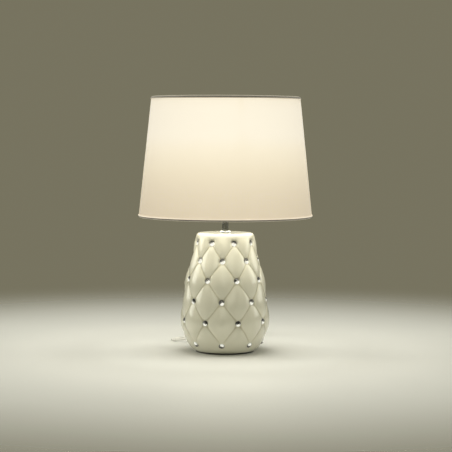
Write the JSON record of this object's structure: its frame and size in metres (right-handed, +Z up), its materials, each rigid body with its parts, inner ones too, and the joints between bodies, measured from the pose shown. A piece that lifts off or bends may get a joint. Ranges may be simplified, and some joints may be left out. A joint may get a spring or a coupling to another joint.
{
  "type": "table lamp",
  "caption": "Table lamp with a quilted ceramic vase base, crystal studs, a chrome stem and a tapered fabric drum shade on a drop spider, with a switched lead and plug.",
  "frame": {"origin": "centre of the underside of the felt pad, on the lamp's axis, on the surface the lamp stands on", "axes": "+Z up along the lamp's axis; -Y is the front; +X is to the right seen from the front; the lead leaves at the back, on the -X side"},
  "size_m": [0.2802, 0.4003, 0.4104],
  "materials": {
    "glazed_ceramic": "glossy cream-white glaze over quilted earthenware",
    "crystal": "foil-backed faceted glass stones",
    "felt": "pressed black felt",
    "chrome": "polished chrome plate",
    "zinc_steel": "zinc-plated steel",
    "nickel": "nickel-plated brass",
    "brass": "plain brass",
    "solder": "dull solder",
    "holder_plastic": "white moulded plastic",
    "holder_insert": "white porcelain insert",
    "core_brown": "brown core insulation",
    "core_blue": "blue core insulation",
    "opal_glass": "opal white lamp glass, emissive when lit",
    "black_glass": "black vitrite insulator",
    "shade_fabric": "fine off-white plain-weave cotton on a translucent backing",
    "shade_hem": "the same cotton rolled over the wire",
    "white_wire": "white powder-coated steel",
    "lead_pvc": "off-white flexible PVC",
    "switch_plastic": "off-white moulded plastic",
    "plug_pvc": "off-white moulded PVC",
    "tie_plastic": "soft plastic cord tie"
  },
  "bodies": {
    "base": {"ceramic_body": "glazed_ceramic", "felt_pad": "felt", "neck_washer": "chrome", "stem_tube": "chrome", "inner_washer": "zinc_steel", "lock_washer": "zinc_steel", "inner_nut": "zinc_steel", "cord_bushing": "lead_pvc", "internal_lead": "lead_pvc", "holder_cap": "holder_plastic", "holder_insert": "holder_insert", "terminal_screw_1": "brass", "terminal_screw_2": "brass", "lead_core_1": "core_brown", "lead_core_2": "core_blue", "holder_contact": "brass", "holder_screw_shell": "brass", "holder_sleeve": "holder_plastic", "cord_lead": "lead_pvc", "cord_link": "lead_pvc", "cord_tail": "lead_pvc", "cord_coil": "lead_pvc", "cord_tie": "tie_plastic", "switch_lower_case": "switch_plastic", "switch_upper_case": "switch_plastic", "switch_screw_1": "zinc_steel", "switch_screw_2": "zinc_steel", "rocker_pin": "zinc_steel", "switch_blade_1": "brass", "switch_blade_2": "brass", "plug_body": "plug_pvc", "plug_pin_1": "nickel", "plug_pin_2": "nickel"},
    "shade": {"shade_fabric": "shade_fabric", "top_ring": "white_wire", "bottom_ring": "white_wire", "top_hem": "shade_hem", "bottom_hem": "shade_hem", "fitter_ring": "white_wire", "spider_arm_1": "white_wire", "spider_arm_2": "white_wire", "spider_arm_3": "white_wire"},
    "clamp_ring": {"shade_ring": "holder_plastic"},
    "bulb_seat": {"bulb_contact": "solder"},
    "bulb": {"bulb_glass": "opal_glass", "bulb_cap": "zinc_steel", "bulb_insulator": "black_glass"},
    "rocker": {"switch_rocker": "switch_plastic"}
  },
  "joints": [
    {"name": "shade_turn", "type": "hinge", "parent": "base", "child": "shade", "pos_m": [0, 0, 0.266], "axis": [0, 0, 1], "continuous": true},
    {"name": "ring_turn", "type": "hinge", "parent": "base", "child": "clamp_ring", "pos_m": [0, 0, 0.272], "axis": [0, 0, 1], "range_deg": [0, 1080]},
    {"name": "bulb_lift", "type": "slide", "parent": "base", "child": "bulb_seat", "axis": [0, 0, 1], "range_m": [0, 0.16]},
    {"name": "bulb_turn", "type": "hinge", "parent": "bulb_seat", "child": "bulb", "pos_m": [0, 0, 0.2615], "axis": [0, 0, 1], "continuous": true},
    {"name": "rocker_tilt", "type": "hinge", "parent": "base", "child": "rocker", "pos_m": [0, 0.143, 0.0172], "axis": [0, 1, 0], "range_deg": [0, 14]}
  ]
}
